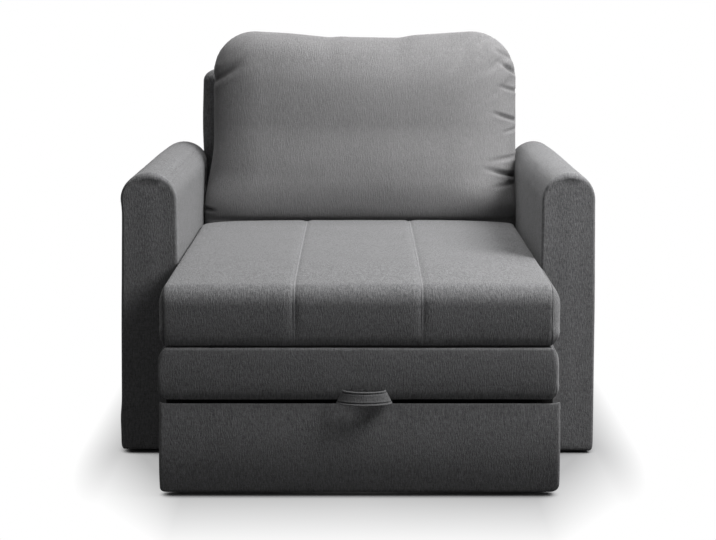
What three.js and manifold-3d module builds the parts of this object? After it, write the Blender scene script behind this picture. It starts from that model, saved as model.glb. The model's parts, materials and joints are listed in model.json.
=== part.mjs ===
// Convertible chair bed: an upholstered armchair with a two-layer seat over a roll-out box.
// The upper seat section turns over forward, about its front lower edge, and lies on the box as a bed.
// Millimetres, +Z up, the front faces -Y. The origin is on the floor, under the middle of the whole chair.
// Places are worked out from the hinge line at the seat's front (y = 0), the floor and the middle (x = 0).
import * as THREE from "three";
import { mergeVertices } from "three/addons/utils/BufferGeometryUtils.js";
import Module from "manifold-3d";

const wasm = await Module();
wasm.setup();

// Driving dimensions
const armGap = 765; // clear width between the arms
const armWidth = 117.5;
const armHeight = 607;
const armSetback = 290; // from the front of the seat back to the front of the arms
const armPastBack = 42; // how far the arms run past the front of the back panel
const seatLength = 964; // lower section, front to rear
const platformHeight = 200; // floor to the top of the slats
const lowerThickness = 101.9;
const upperThickness = 118.6; // at its edges
const upperCrown = 10; // how much higher the middle of the upper section is
const frontWidth = 776; // upholstered front of the roll-out box
const frontThickness = 40;
const frontFloorGap = 11;
const frontSlot = 8.5; // dark slot between the box front and the lower section
const backWidth = 780;
const backHeight = 780;
const backThickness = 102;
const backFloorGap = 30;
const cushionWidth = 756;
const cushionHeight = 579;
const cushionEdge = 104; // thickness of the loose cushion along its edges
const cushionMiddle = 160; // and in its middle
const cushionLean = 26; // how far its top stands behind its foot

// Clearances
const joinGap = 0.3; // between pieces that are fixed to each other
const softGap = 0.5; // between padding and what it rests on
const hingeGap = 0.5; // the seat's front faces stay this far behind the hinge line
const layerGap = 2; // between the two seat sections, for the hinge band
const sideGap = 2; // between a seat section and an arm
const backGap = 3.5; // between the seat and the back panel
const notchGap = 1.5; // round the back panel, where it presses into the arms
const slideGap = 2; // between the box slats and the platform
const cushionFit = 4.5; // beyond the loose cushion's thickness, behind the upper section
const flipGap = 6; // under the upper section when it is turned over
const boxSideGap = 7.5; // between the box and the arms
const boxRearGap = 18; // between the box and the back panel
const frameGap = 1; // between a timber frame and its cover
const axleGap = 0.4; // between an axle and its wheel

// Upholstery
const armWall = 20; // padding and fabric over the arm frames
const backWall = 22;
const sectionWall = 20; // wadding and fabric over the foam cores
const cushionWall = 26;
const frontPadding = 22; // over the face of the box front
const frontWall = 12; // round its edges
const armFrontRound = 9;
const armFootRound = 12;
const backEdgeRound = 22;
const backCornerRound = 26;
const backFootRound = 24;
const frontEdgeRound = 6;
const frontTopRound = 7;
const frontFootRound = 10;
const upperTopRound = 34;
const upperFootRound = 12;
const lowerTopRound = 6;
const lowerFootRound = 10;
const cushionRound = 40;
const channelDepth = 5; // of the two sewn channels in the upper section
const channelWidth = 18;
const channelShare = 1 / 6; // of the section's width, from its middle to each channel
const besideShares = [-1 / 3, -1 / 12, 0, 1 / 12, 1 / 3]; // its other grid lines, of the same width
const channelFade = 4; // how fast a channel fades in towards the front face
const sidePull = 4; // how far a seat section's sides are drawn in between its corners
const sideSwell = 10; // how far they stand proud ahead of the arms
const swellRun = 45; // the length over which they come back to the arms
const cushionPull = 12; // how far the loose cushion's edges are drawn in between its corners
const cushionCorner = 92; // radius of its upper corners, seen from the front
const zipHeight = 6;
const zipInset = 60; // from each side of a cover to the end of its zip

// Timber frames
const railHeight = 30;
const postDepth = 40;
const bearerHeight = 40;
const bearerWidth = 25;
const backPostWidth = 50;
const backRailHeight = 50;
const platformRail = 30;
const platformSlats = 7;
const platformSlatWidth = 60;
const platformSlatDepth = 12;
const slatHousing = 8; // how deep a slat's end sits in its rail
const slatRound = 4;
const platformInset = 43; // the platform starts this far back, behind the box front
const boxBoard = 22;
const boxFloorGap = 16;
const boxSlats = 5;
const boxSlatWidth = 75;
const boxSlatDepth = 17;

// Glides, castors, strap and hinge band
const glideHeight = 12;
const glideRadius = 18;
const glideInset = 48;
const glideBevel = 2;
const wheelRadius = 20;
const wheelWidth = 14;
const wheelEdge = 2.5;
const wheelHub = 9;
const hubRecess = 2.5;
const castorPlate = 2.5;
const castorPlateLength = 46;
const castorPlateHeight = 62; // above the axle
const castorInset = 52;
const wheelClear = 4; // over the wheel
const cheekGap = 1.2; // beside the wheel
const cheekEnd = 8;
const rivetHead = 1.5;
const axleRadius = 3;
const strapLength = 100;
const strapOffset = 12; // the strap is sewn on a little to the right of the middle
const strapHeight = 34;
const strapThickness = 3;
const strapReach = 24;
const strapTab = 22;
const strapTabWidth = 18;
const strapLift = 1; // from the box front up to the strap
const bandThickness = 1.2;
const bandDepth = 52;
const bandInset = 90;

// Places worked out from these
const halfGap = armGap / 2;
const frontY = hingeGap;
const seatRear = frontY + seatLength;
const upperLength = seatLength - cushionMiddle - cushionFit;
const backFront = seatRear + backGap;
const backRear = backFront + backThickness;
const armRear = backFront + armPastBack;
const springing = armHeight - armWidth / 2; // where the round top of an arm begins
const lowerBottom = platformHeight + softGap;
const lowerTop = lowerBottom + lowerThickness;
const hingeZ = lowerTop + layerGap / 2;
const upperBottom = hingeZ + layerGap / 2;
const upperTop = upperBottom + upperThickness;
const sectionHalf = halfGap - sideGap;
const frontTop = lowerBottom - frontSlot;
const platformBottom = platformHeight - platformRail;
const turnedBottom = hingeZ - (upperTop + upperCrown - hingeZ);
const boxTop = Math.min(platformBottom - slideGap, turnedBottom - flipGap);
const boxHalf = halfGap - boxSideGap;
const boxFront = frontY + frontThickness + joinGap;
const boxRear = backFront - boxRearGap;
const boardTop = boxTop - boxSlatDepth - joinGap;
const centreY = (backRear - strapReach) / 2;

const curveSteps = 6; // a round stretch of an outline has twice as many steps
const turnSteps = 32; // steps round a wheel or a glide
const gridSteps = 8; // even steps along a side of a padded block
const overrun = 5; // how far a cutting block runs past what it cuts
const weldSize = 0.001;
const halfTurn = Math.PI;
const quarterTurn = Math.PI / 2;
const bevelShare = 1 - Math.tan(Math.PI / 8); // places the middle line of a rounded edge

const materials = {
  fabric: new THREE.MeshStandardMaterial({ color: 0x6d6d6f, roughness: 0.95, metalness: 0 }),
  foam: new THREE.MeshStandardMaterial({ color: 0xe9e2c8, roughness: 0.9, metalness: 0 }),
  timber: new THREE.MeshStandardMaterial({ color: 0xc9a878, roughness: 0.7, metalness: 0 }),
  steel: new THREE.MeshStandardMaterial({ color: 0x9a9c9f, roughness: 0.4, metalness: 1 }),
  wheel: new THREE.MeshStandardMaterial({ color: 0x2a2a2c, roughness: 0.6, metalness: 0 }),
  glide: new THREE.MeshStandardMaterial({ color: 0x1c1c1e, roughness: 0.5, metalness: 0 }),
};

const chair = new THREE.Group();
chair.position.set(0, -centreY, 0);

// Puts one finished piece into the chair.
function place(name, geometry, material) {
  const mesh = new THREE.Mesh(geometry, material);
  mesh.name = name;
  chair.add(mesh);
}

// A closed geometry as a solid that can be cut and joined.
function solidOf(geometry) {
  const bare = geometry.clone();
  bare.deleteAttribute("normal");
  bare.deleteAttribute("uv");
  const merged = mergeVertices(bare, weldSize);
  const vertProperties = new Float32Array(merged.attributes.position.array);
  const triVerts = new Uint32Array(merged.index.array);
  return new wasm.Manifold(new wasm.Mesh({ numProp: 3, vertProperties, triVerts }));
}

// A cut solid as a geometry again.
function geometryOf(solid) {
  const { vertProperties, triVerts } = solid.getMesh();
  const geometry = new THREE.BufferGeometry();
  geometry.setAttribute("position", new THREE.BufferAttribute(vertProperties, 3));
  geometry.setIndex(new THREE.BufferAttribute(triVerts, 1));
  geometry.computeVertexNormals();
  return geometry;
}

function cut(body, ...tools) {
  return geometryOf(tools.reduce((solid, tool) => solid.subtract(solidOf(tool)), solidOf(body)));
}

function join(...pieces) {
  return geometryOf(pieces.map(solidOf).reduce((solid, piece) => solid.add(piece)));
}

// A box from its low corner to its high corner.
function block(low, high) {
  const geometry = new THREE.BoxGeometry(high[0] - low[0], high[1] - low[1], high[2] - low[2]);
  geometry.translate((high[0] + low[0]) / 2, (high[1] + low[1]) / 2, (high[2] + low[2]) / 2);
  return geometry;
}

// The same on one side of the chair, where x is measured outward from the middle.
function sideBlock(side, low, high) {
  const xs = [side * low[0], side * high[0]].sort((a, b) => a - b);
  return block([xs[0], low[1], low[2]], [xs[1], high[1], high[2]]);
}

// Turns an outline extruded along Z so that the outline stands up and the extrusion runs along Y.
function standAlongY(geometry) {
  return geometry.rotateX(quarterTurn);
}

// Turns it so that the outline's x runs along Y, its y along Z, and the extrusion along X.
function standAlongX(geometry) {
  const axes = [new THREE.Vector3(0, 1, 0), new THREE.Vector3(0, 0, 1), new THREE.Vector3(1, 0, 0)];
  return geometry.applyMatrix4(new THREE.Matrix4().makeBasis(...axes));
}

// A rectangle standing on y = 0 about x = 0, with round corners.
function roundedOutline(width, height, footRound, topRound) {
  const half = width / 2;
  const outline = new THREE.Shape();
  outline.moveTo(footRound - half, 0);
  outline.absarc(half - footRound, footRound, footRound, -quarterTurn, 0, false);
  outline.absarc(half - topRound, height - topRound, topRound, 0, quarterTurn, false);
  outline.absarc(topRound - half, height - topRound, topRound, quarterTurn, halfTurn, false);
  outline.absarc(footRound - half, footRound, footRound, halfTurn, halfTurn + quarterTurn, false);
  return outline;
}

// An outline extruded along Y from one place to another, with rounded ends if asked.
function alongY(outline, from, to, round) {
  const options = { depth: to - from - 2 * round, curveSegments: curveSteps, bevelEnabled: round > 0 };
  if (round > 0) {
    Object.assign(options, { bevelThickness: round, bevelSize: round, bevelOffset: -round });
    options.bevelSegments = curveSteps / 2;
  }
  return standAlongY(new THREE.ExtrudeGeometry(outline, options)).translate(0, to - round, 0);
}

// A slat across the chair with rounded long edges, its middle at the given place.
function slat(halfLength, width, depth, middleY, bottom) {
  const outline = roundedOutline(width, depth, slatRound, slatRound);
  const options = { depth: 2 * halfLength, curveSegments: 1, bevelEnabled: false };
  return standAlongX(new THREE.ExtrudeGeometry(outline, options)).translate(-halfLength, middleY, bottom);
}

// Grid lines over a side of a padded block: three for each rounded edge, and what lies between them.
function gridLines(half, round, inner) {
  const edge = [half, half - round * bevelShare, half - round];
  const kept = inner.filter((line) => Math.abs(line) < half - round);
  return [...edge.map((line) => -line), ...kept, ...edge].sort((a, b) => a - b);
}

// A padded block about the origin: a box divided at the grid lines, its edges rounded, then shaped.
// rounds holds the radius at the foot and at the top, and shape moves a point by its unit position.
function paddedBlock(lines, rounds, shape) {
  const steps = lines.map((list) => list.length - 1);
  const half = new THREE.Vector3(...lines.map((list) => list[list.length - 1]));
  const geometry = new THREE.BoxGeometry(1, 1, 1, ...steps);
  const points = geometry.attributes.position;
  const lineOf = (share, axis) => lines[axis][Math.round((share + 1 / 2) * steps[axis])];
  for (let i = 0; i < points.count; i += 1) {
    const shares = [points.getX(i), points.getY(i), points.getZ(i)];
    const point = new THREE.Vector3(...shares.map(lineOf));
    const unit = point.clone().divide(half);
    const round = THREE.MathUtils.lerp(rounds[0], rounds[1], (unit.z + 1) / 2);
    const limit = half.clone().subScalar(round);
    const core = point.clone().clamp(limit.clone().negate(), limit);
    point.sub(core).setLength(round).add(core);
    shape(point, unit);
    points.setXYZ(i, point.x, point.y, point.z);
  }
  return geometry;
}

// The hollow of a cushion cover, with the zip's mouth at the rear, about the cover's own middle.
function coverHollow(width, length, height, wall) {
  const hollow = [width / 2 - wall, length / 2 - wall, height / 2 - wall];
  const room = block(hollow.map((v) => -v), hollow);
  const mouth = [width / 2 - zipInset, length / 2 + overrun, zipHeight / 2];
  return [room, block([-mouth[0], 0, -mouth[2]], mouth)];
}

// A foam core that fills such a hollow.
function foamCore(width, length, height, wall) {
  const half = [width, length, height].map((v) => v / 2 - wall - softGap);
  return block(half.map((v) => -v), half);
}

// An arm's end outline: straight sides, a half-round top and eased lower corners, from z = 0.
function armOutline(half, height, footRound) {
  const outline = new THREE.Shape();
  outline.moveTo(footRound - half, 0);
  outline.absarc(half - footRound, footRound, footRound, -quarterTurn, 0, false);
  outline.absarc(0, height - half, half, 0, halfTurn, false);
  outline.absarc(footRound - half, footRound, footRound, halfTurn, halfTurn + quarterTurn, false);
  return outline;
}

// The padded cover of an arm: a shell open at the bottom, let in where the back panel presses into it.
function armCover(side) {
  const middle = side * (halfGap + armWidth / 2);
  const outline = armOutline(armWidth / 2, armHeight - glideHeight, armFootRound);
  const hollow = armOutline(armWidth / 2 - armWall, armHeight - armWall, armFootRound);
  const outer = alongY(outline, armSetback, armRear, armFrontRound);
  const inner = alongY(hollow, armSetback + armWall, armRear - armWall, 0);
  const notch = sideBlock(
    side,
    [halfGap - overrun, backFront - notchGap, backFloorGap - notchGap],
    [backWidth / 2 + notchGap, armRear + overrun, armHeight + overrun],
  );
  outer.translate(middle, 0, glideHeight);
  inner.translate(middle, 0, 0);
  return cut(outer, inner, notch);
}

// The timber frame inside an arm, and its two glides.
function armFrame(side, label) {
  const near = halfGap + armWall + frameGap;
  const far = halfGap + armWidth - armWall - frameGap;
  const front = armSetback + armWall + frameGap;
  const rear = armRear - armWall - frameGap;
  const foot = glideHeight + joinGap;
  const top = springing - frameGap;
  const postFoot = foot + railHeight + joinGap;
  const postTop = top - railHeight - joinGap;
  const { timber, glide } = materials;
  const stick = (name, low, high) => place(`${label}_arm_${name}`, sideBlock(side, low, high), timber);
  stick("bottom_rail", [near, front, foot], [far, rear, foot + railHeight]);
  stick("top_rail", [near, front, top - railHeight], [far, rear, top]);
  stick("front_post", [near, front, postFoot], [far, front + postDepth, postTop]);
  stick("rear_post", [near, rear - postDepth, postFoot], [far, rear, postTop]);
  stick(
    "bearer_rail",
    [near, front + postDepth + joinGap, platformHeight - bearerHeight],
    [near + bearerWidth, rear - postDepth - joinGap, platformHeight],
  );
  const ends = { front: front + glideInset, rear: rear - glideInset };
  for (const [end, y] of Object.entries(ends)) {
    const geometry = glideFoot().translate(side * (near + far) / 2, y, 0);
    place(`${label}_${end}_glide`, geometry, glide);
  }
}

// A round plastic glide on the floor, with an eased lower edge.
function glideFoot() {
  const profile = [
    [0, 0],
    [glideRadius - glideBevel, 0],
    [glideRadius, glideBevel],
    [glideRadius, glideHeight],
    [0, glideHeight],
  ].map(([r, h]) => new THREE.Vector2(r, h));
  return new THREE.LatheGeometry(profile, turnSteps).rotateX(quarterTurn);
}

// The back panel: a padded cover open at the bottom, over two posts and three rails.
function backPanel() {
  const { timber, fabric } = materials;
  const outline = roundedOutline(backWidth, backHeight - backFloorGap, backFootRound, backCornerRound);
  const outer = alongY(outline, backFront, backRear, backEdgeRound).translate(0, 0, backFloorGap);
  const half = backWidth / 2 - backWall;
  const front = backFront + backWall;
  const rear = backRear - backWall;
  const top = backHeight - backWall;
  const hollow = block([-half, front, backFloorGap - overrun], [half, rear, top]);
  place("back_cover", cut(outer, hollow), fabric);
  const postFar = half - frameGap;
  const postNear = postFar - backPostWidth;
  const low = [front + frameGap, backFloorGap + joinGap];
  const high = [rear - frameGap, top - frameGap];
  for (const [side, label] of sides) {
    const post = sideBlock(side, [postNear, ...low], [postFar, ...high]);
    place(`back_${label}_post`, post, timber);
  }
  const feet = {
    bottom: low[1],
    middle: platformHeight - backRailHeight,
    top: high[1] - backRailHeight,
  };
  const reach = postNear - joinGap;
  for (const [name, z] of Object.entries(feet)) {
    place(`back_${name}_rail`, block([-reach, low[0], z], [reach, high[0], z + backRailHeight]), timber);
  }
}

// The fixed slatted platform between the arms, reaching out over the box ahead of them.
// Its side and front rails show, so they are wrapped in fabric.
function platform() {
  const { timber, fabric } = materials;
  const far = halfGap - sideGap;
  const near = far - platformRail;
  const front = frontY + platformInset;
  const slatBottom = platformHeight - platformSlatDepth;
  const first = front + platformRail;
  const last = seatRear - platformRail;
  const pitch = (last - first) / (platformSlats + 1);
  const middles = Array.from({ length: platformSlats }, (_, i) => first + (i + 1) * pitch);
  for (const [side, label] of sides) {
    const rail = sideBlock(side, [near, front, platformBottom], [far, seatRear, platformHeight]);
    const housings = middles.map((y) =>
      sideBlock(
        side,
        [near - overrun, y - platformSlatWidth / 2 - joinGap, slatBottom - joinGap],
        [near + slatHousing, y + platformSlatWidth / 2 + joinGap, platformHeight + overrun],
      ),
    );
    place(`platform_${label}_rail`, cut(rail, ...housings), fabric);
  }
  const reach = near - joinGap;
  const ends = { front: [front, fabric], rear: [seatRear - platformRail, timber] };
  for (const [end, [y, finish]] of Object.entries(ends)) {
    const low = [-reach, y, platformBottom];
    place(`platform_${end}_rail`, block(low, [reach, y + platformRail, platformHeight]), finish);
  }
  middles.forEach((y, i) => {
    const half = near + slatHousing - joinGap;
    const geometry = slat(half, platformSlatWidth, platformSlatDepth, y, slatBottom);
    place(`platform_slat_${i + 1}`, geometry, timber);
  });
}

// Moves a point of a seat section: sides drawn in between the corners, and proud ahead of the arms.
function shapeSides(point, unit, middleY) {
  const ahead = (armSetback - sideGap - middleY - point.y) / swellRun;
  const swell = sideSwell * THREE.MathUtils.clamp(ahead, 0, 1) * (1 - unit.z ** 2);
  point.x += unit.x * (swell - sidePull * (1 - unit.y ** 2));
}

// Even lines across a long side of a padded block.
function evenLines(half) {
  return Array.from({ length: gridSteps - 1 }, (_, i) => half * ((2 * (i + 1)) / gridSteps - 1));
}

// The lower seat section: a plain padded block on the platform, with its foam core.
function lowerSection() {
  const middleY = frontY + seatLength / 2;
  const middleZ = lowerBottom + lowerThickness / 2;
  const size = [2 * sectionHalf, seatLength, lowerThickness];
  const round = Math.max(lowerTopRound, lowerFootRound);
  const armLines = [armSetback - sideGap - swellRun - middleY, armSetback - sideGap - middleY];
  const lines = [
    gridLines(size[0] / 2, round, evenLines(size[0] / 2)),
    gridLines(size[1] / 2, round, [...evenLines(size[1] / 2), ...armLines]),
    gridLines(size[2] / 2, round, [0]),
  ];
  const outer = paddedBlock(lines, [lowerFootRound, lowerTopRound], (point, unit) => {
    shapeSides(point, unit, middleY);
  });
  const cover = cut(outer, ...coverHollow(...size, sectionWall)).translate(0, middleY, middleZ);
  const core = foamCore(...size, sectionWall).translate(0, middleY, middleZ);
  place("lower_section_cover", cover, materials.fabric);
  place("lower_section_foam", core, materials.foam);
}

// The upper seat section: crowned, with two sewn channels from front to rear, and its foam core.
function upperSection() {
  const middleY = frontY + upperLength / 2;
  const middleZ = upperBottom + upperThickness / 2;
  const size = [2 * sectionHalf, upperLength, upperThickness];
  const channelX = size[0] * channelShare;
  const channelSides = [-channelWidth / 2, 0, channelWidth / 2];
  const channelLines = channelSides.flatMap((off) => [off - channelX, off + channelX]);
  const besideLines = besideShares.map((share) => size[0] * share);
  const armLines = [armSetback - sideGap - swellRun - middleY, armSetback - sideGap - middleY];
  const lines = [
    gridLines(size[0] / 2, upperTopRound, [...channelLines, ...besideLines]),
    gridLines(size[1] / 2, upperTopRound, [...evenLines(size[1] / 2), ...armLines]),
    gridLines(size[2] / 2, upperTopRound, [0]),
  ];
  const outer = paddedBlock(lines, [upperFootRound, upperTopRound], (point, unit) => {
    const onTop = Math.max(unit.z, 0);
    const onFront = Math.max(-unit.y, 0) ** channelFade * Math.sqrt(1 - Math.abs(unit.z));
    const dome = (1 - unit.x ** 2) * (1 - unit.y ** 2);
    const off = Math.abs(Math.abs(point.x) - channelX) / channelWidth;
    const channel = channelDepth * Math.max(0, 1 - 2 * off);
    point.z += onTop * (upperCrown * dome - channel);
    point.y += onFront * channel;
    shapeSides(point, unit, middleY);
  });
  const cover = cut(outer, ...coverHollow(...size, sectionWall)).translate(0, middleY, middleZ);
  const core = foamCore(...size, sectionWall).translate(0, middleY, middleZ);
  place("upper_section_cover", cover, materials.fabric);
  place("upper_section_foam", core, materials.foam);
}

// The fabric band along the front, on which the upper section turns over.
function hingeBand() {
  const front = frontY + lowerTopRound;
  const half = sectionHalf - bandInset;
  const bottom = hingeZ - bandThickness / 2;
  const band = block([-half, front, bottom], [half, front + bandDepth, bottom + bandThickness]);
  place("hinge_band", band, materials.fabric);
}

// The loose back cushion: a plump pillow behind the upper section that leans on the back panel.
function backCushion() {
  const size = [cushionWidth, cushionEdge, cushionHeight];
  const bulge = (cushionMiddle - cushionEdge) / 2;
  const reach = cushionMiddle / 2 + (cushionLean / 4) ** 2 / bulge; // from its middle to its rear
  const lean = new THREE.Matrix4().makeShear(0, 0, 0, 0, 0, cushionLean / cushionHeight);
  const middleY = backFront - softGap - reach;
  const middleZ = lowerTop + softGap + cushionHeight / 2;
  const [halfWidth, halfEdge, halfHeight] = size.map((v) => v / 2);
  const lines = [
    gridLines(halfWidth, cushionRound, [...evenLines(halfWidth), ...cornerLines(halfWidth, [-1, 1])]),
    gridLines(halfEdge, cushionRound, []),
    gridLines(halfHeight, cushionRound, [...evenLines(halfHeight), ...cornerLines(halfHeight, [1])]),
  ];
  const outer = paddedBlock(lines, [cushionRound, cushionRound], (point, unit) => {
    roundUpperCorner(point, halfWidth, halfHeight);
    const dome = (1 - unit.x ** 4) * (1 - unit.z ** 2);
    point.y += unit.y * bulge * dome;
    point.x -= unit.x * cushionPull * (1 - unit.z ** 2);
    point.z -= Math.max(unit.z, 0) * cushionPull * (1 - unit.x ** 2);
  });
  const half = cushionHalf().map((v) => v - softGap);
  const cover = cut(outer, ...cushionHollow()).applyMatrix4(lean);
  const filling = block(half.map((v) => -v), half).applyMatrix4(lean);
  place("back_cushion_cover", cover.translate(0, middleY, middleZ), materials.fabric);
  place("back_cushion_filling", filling.translate(0, middleY, middleZ), materials.foam);
}

// The grid lines where the loose cushion's upper corners begin to turn, and between there and the edge.
function cornerLines(half, signs) {
  return signs.flatMap((sign) => [
    sign * (half - cushionCorner),
    sign * (half - (cushionCorner + cushionRound) / 2),
  ]);
}

// Draws a point of an upper corner of the loose cushion in, from the small edge radius to the corner's.
function roundUpperCorner(point, halfWidth, halfHeight) {
  const across = Math.abs(point.x) - (halfWidth - cushionCorner);
  const up = point.z - (halfHeight - cushionCorner);
  if (across <= 0 || up <= 0) return;
  const core = cushionCorner - cushionRound;
  const over = Math.hypot(Math.max(across - core, 0), Math.max(up - core, 0));
  const reach = over > 0 ? core + over : Math.max(across, up);
  const shrink = 1 - reach / Math.hypot(across, up);
  point.x -= Math.sign(point.x) * across * shrink;
  point.z -= up * shrink;
}

// Half the size of the room inside the loose cushion's cover.
function cushionHalf() {
  const across = cushionWidth / 2 - cushionWall - cushionPull;
  return [across, cushionEdge / 2 - cushionWall, cushionHeight / 2 - cushionWall - cushionPull];
}

// That room, with the zip's mouth underneath.
function cushionHollow() {
  const half = cushionHalf();
  const mouth = [half[0] - zipInset, zipHeight / 2];
  const zip = block([-mouth[0], -mouth[1], -cushionHeight / 2 - overrun], [mouth[0], mouth[1], 0]);
  return [block(half.map((v) => -v), half), zip];
}

// The upholstered front of the roll-out box, over its board.
function boxFrontPanel() {
  const outline = roundedOutline(frontWidth, frontTop - frontFloorGap, frontFootRound, frontTopRound);
  const rear = frontY + frontThickness;
  const outer = alongY(outline, frontY, rear, frontEdgeRound).translate(0, 0, frontFloorGap);
  const half = frontWidth / 2 - frontWall;
  const low = frontFloorGap + frontWall;
  const high = frontTop - frontWall;
  const room = block([-half, frontY + frontPadding, low], [half, rear + overrun, high]);
  const board = block(
    [joinGap - half, frontY + frontPadding + joinGap, low + joinGap],
    [half - joinGap, rear, high - joinGap],
  );
  place("box_front_cover", cut(outer, room), materials.fabric);
  place("box_front_board", board, materials.timber);
}

// The box itself: two sides wrapped in fabric, a rear board, and the slats for the turned-over section.
function rollOutBox() {
  const { timber, fabric } = materials;
  const near = boxHalf - boxBoard;
  for (const [side, label] of sides) {
    const board = sideBlock(side, [near, boxFront, boxFloorGap], [boxHalf, boxRear, boardTop]);
    place(`box_${label}_side`, board, fabric);
  }
  const reach = near - joinGap;
  const rearBoard = block([-reach, boxRear - boxBoard, boxFloorGap], [reach, boxRear, boardTop]);
  place("box_rear_board", rearBoard, timber);
  const first = boxFront + boxSlatWidth / 2;
  const pitch = (boxRear - boxSlatWidth / 2 - first) / (boxSlats - 1);
  for (let i = 0; i < boxSlats; i += 1) {
    const geometry = slat(boxHalf, boxSlatWidth, boxSlatDepth, first + i * pitch, boardTop + joinGap);
    place(`box_slat_${i + 1}`, geometry, timber);
  }
}

// A castor plate's outline about the axle: round at its foot, straight from above the wheel to its top.
function castorCheek(top) {
  const half = castorPlateLength / 2;
  const cheek = new THREE.Shape();
  cheek.moveTo(-half, wheelRadius + wheelClear);
  cheek.lineTo(-half, top);
  cheek.lineTo(half, top);
  cheek.lineTo(half, wheelRadius + wheelClear);
  cheek.absarc(0, 0, cheekEnd, 0, halfTurn, true);
  const options = { depth: castorPlate, curveSegments: curveSteps, bevelEnabled: false };
  return standAlongX(new THREE.ExtrudeGeometry(cheek, options));
}

// A fixed castor's bracket about its axle: a tall plate screwed to the box side, a web over the wheel,
// a short inner cheek, and the axle riveted between the two.
function castorBracket(side) {
  const inner = wheelWidth / 2 + cheekGap;
  const outerFace = inner + castorPlate;
  const webBottom = wheelRadius + wheelClear;
  const webTop = webBottom + castorPlate;
  const [right, left] = [inner, -outerFace];
  const tall = castorCheek(castorPlateHeight).translate(side > 0 ? right : left, 0, 0);
  const short = castorCheek(webTop).translate(side > 0 ? left : right, 0, 0);
  const half = castorPlateLength / 2;
  const web = block([-outerFace, -half, webBottom], [outerFace, half, webTop]);
  const axleLength = 2 * outerFace + rivetHead;
  const axle = new THREE.CylinderGeometry(axleRadius, axleRadius, axleLength, turnSteps / 2);
  return join(tall, short, web, axle.rotateZ(quarterTurn).translate((-side * rivetHead) / 2, 0, 0));
}

// A castor's wheel about its axle, with a bore, recessed faces round the hub and eased edges.
function castorWheel() {
  const half = wheelWidth / 2;
  const bore = axleRadius + axleGap;
  const halfProfile = [
    [bore, half],
    [wheelHub, half],
    [wheelHub, half - hubRecess],
    [wheelRadius - 2 * wheelEdge, half - hubRecess],
    [wheelRadius - 2 * wheelEdge, half],
    [wheelRadius - wheelEdge, half],
    [wheelRadius, half - wheelEdge],
  ];
  const mirrored = halfProfile.map(([r, h]) => [r, -h]);
  const loop = [...mirrored, ...halfProfile.reverse(), mirrored[0]];
  const profile = loop.map(([r, h]) => new THREE.Vector2(r, h));
  return new THREE.LatheGeometry(profile, turnSteps).rotateZ(-quarterTurn);
}

// The four castors inside the box sides.
function castors() {
  const ends = { front: boxFront + castorInset, rear: boxRear - castorInset };
  const across = boxHalf - boxBoard - joinGap - castorPlate - cheekGap - wheelWidth / 2;
  for (const [side, label] of sides) {
    for (const [end, y] of Object.entries(ends)) {
      const spot = [side * across, y, wheelRadius];
      place(`${label}_${end}_castor_bracket`, castorBracket(side).translate(...spot), materials.steel);
      place(`${label}_${end}_castor_wheel`, castorWheel().translate(...spot), materials.wheel);
    }
  }
}

// The fabric strap that pulls the box out: a bowed band on two tabs that lie in the slot over the front.
function strapHandle() {
  const bottom = frontTop + strapLift;
  const half = strapLength / 2;
  const bow = strapReach - strapThickness;
  const radius = (half ** 2 + bow ** 2) / (2 * bow); // of the bow's inner face
  const sweep = Math.asin(half / radius);
  const band = new THREE.Shape();
  band.absarc(0, radius - bow, radius, -quarterTurn - sweep, sweep - quarterTurn, false);
  band.absarc(0, radius - bow, radius + strapThickness, sweep - quarterTurn, -quarterTurn - sweep, true);
  const options = { depth: strapHeight, curveSegments: curveSteps, bevelEnabled: false };
  const bowed = new THREE.ExtrudeGeometry(band, options).translate(0, 0, bottom);
  const tabs = [-1, 1].map((side) =>
    sideBlock(
      side,
      [half - strapTabWidth, -strapThickness, bottom],
      [half, frontY + strapTab, bottom + strapThickness],
    ),
  );
  const strap = join(bowed, ...tabs).translate(strapOffset, 0, 0);
  place("strap_handle", strap, materials.fabric);
}

const sides = [
  [-1, "left"],
  [1, "right"],
];

for (const [side, label] of sides) {
  place(`${label}_arm_cover`, armCover(side), materials.fabric);
  armFrame(side, label);
}
backPanel();
platform();
lowerSection();
upperSection();
hingeBand();
backCushion();
boxFrontPanel();
rollOutBox();
castors();
strapHandle();

export default chair;
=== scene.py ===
# Convertible chair bed in grey woven fabric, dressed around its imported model.
# Metres, +Z up, the front faces -Y. Each soft piece stands where the model's own solid for it stands.
import json
import math

import bmesh
import bpy
import numpy as np
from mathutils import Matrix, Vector, noise


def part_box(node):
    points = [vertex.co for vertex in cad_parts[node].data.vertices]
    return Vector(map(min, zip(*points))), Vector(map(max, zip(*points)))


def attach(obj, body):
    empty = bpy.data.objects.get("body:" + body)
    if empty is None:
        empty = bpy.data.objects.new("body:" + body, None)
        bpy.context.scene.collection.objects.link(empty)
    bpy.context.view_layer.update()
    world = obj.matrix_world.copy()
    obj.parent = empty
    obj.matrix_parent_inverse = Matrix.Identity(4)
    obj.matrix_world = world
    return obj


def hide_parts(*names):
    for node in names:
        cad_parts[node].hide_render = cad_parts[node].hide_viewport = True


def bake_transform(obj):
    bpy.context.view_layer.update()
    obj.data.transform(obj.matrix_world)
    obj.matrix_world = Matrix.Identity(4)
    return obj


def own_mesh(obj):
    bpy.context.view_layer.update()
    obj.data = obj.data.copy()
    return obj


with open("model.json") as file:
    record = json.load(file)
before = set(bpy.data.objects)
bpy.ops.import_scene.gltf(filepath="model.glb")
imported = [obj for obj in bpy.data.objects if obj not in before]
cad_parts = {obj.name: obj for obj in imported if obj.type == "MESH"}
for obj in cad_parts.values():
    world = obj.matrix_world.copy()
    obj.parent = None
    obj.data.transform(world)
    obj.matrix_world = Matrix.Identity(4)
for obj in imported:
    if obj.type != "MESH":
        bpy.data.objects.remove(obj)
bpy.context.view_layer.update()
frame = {"nodes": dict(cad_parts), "record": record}

mm = 0.001
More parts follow.
